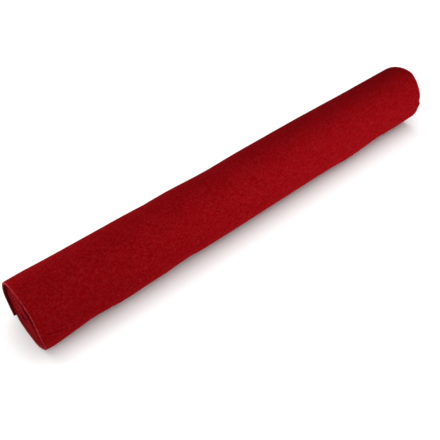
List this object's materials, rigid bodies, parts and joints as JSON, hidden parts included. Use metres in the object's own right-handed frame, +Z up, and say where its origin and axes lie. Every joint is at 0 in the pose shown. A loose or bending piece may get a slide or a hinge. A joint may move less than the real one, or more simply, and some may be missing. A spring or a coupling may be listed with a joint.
{
  "type": "roll of felt",
  "caption": "Loosely wound roll of thick craft felt lying on its side, a straight cylinder with a spiral of cloth at both cut ends.",
  "frame": {"origin": "on the surface that the roll lies on, under the middle of the roll", "axes": "+X along the roll from its near end to its far end, +Y away from the front, +Z up"},
  "size_m": [0.454, 0.0592, 0.0577],
  "materials": {
    "felt": "matt needle-punched felt, deep red"
  },
  "bodies": {
    "root": {"felt_roll": "felt"}
  },
  "joints": []
}
